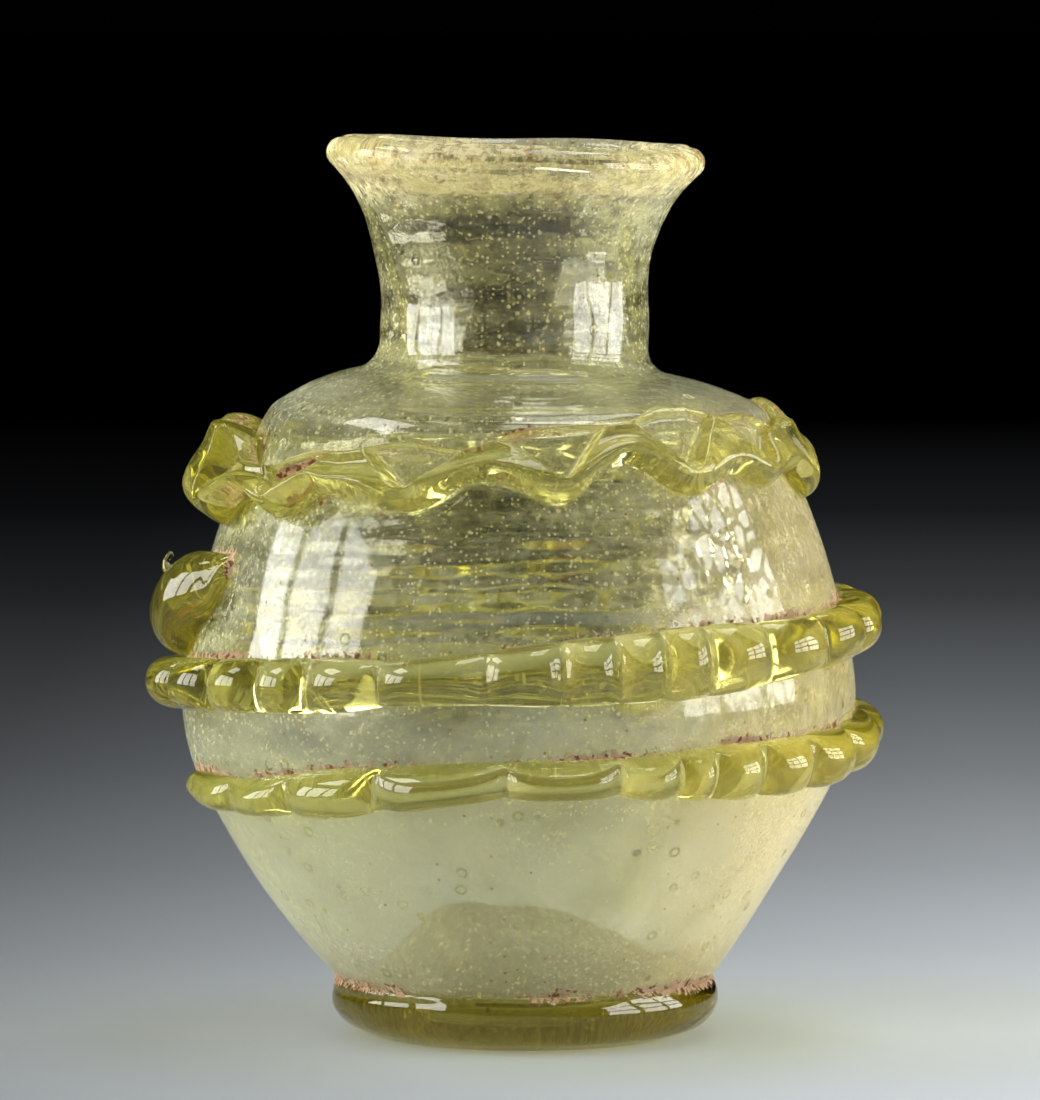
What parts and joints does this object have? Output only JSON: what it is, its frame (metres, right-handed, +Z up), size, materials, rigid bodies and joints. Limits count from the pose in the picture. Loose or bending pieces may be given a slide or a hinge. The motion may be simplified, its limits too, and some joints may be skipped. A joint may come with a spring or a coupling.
{
  "type": "glass jar",
  "caption": "Free-blown glass jar with a round belly, short neck, flared rounded lip, foot ring, wavy shoulder trail and pinched spiral trail.",
  "frame": {"origin": "centre of the foot ring's resting face, on the jar's axis", "axes": "+Z up along the jar's axis; -Y is the front that the picture shows; +X is to the right seen from the front, and the mouth leans 2 degrees towards it"},
  "size_m": [0.0922, 0.0928, 0.1119],
  "materials": {
    "vessel_glass": "thin pale yellow-green glass with weathering film, bubbles and streaks",
    "ring_glass": "thick olive glass with soil left in the seam",
    "trail_glass": "thick glossy olive-yellow glass with soil left in the hollows"
  },
  "bodies": {
    "root": {"vessel_body": "vessel_glass", "base_ring": "ring_glass", "pontil_scar": "ring_glass", "shoulder_trail": "trail_glass", "body_trail": "trail_glass"}
  },
  "joints": []
}
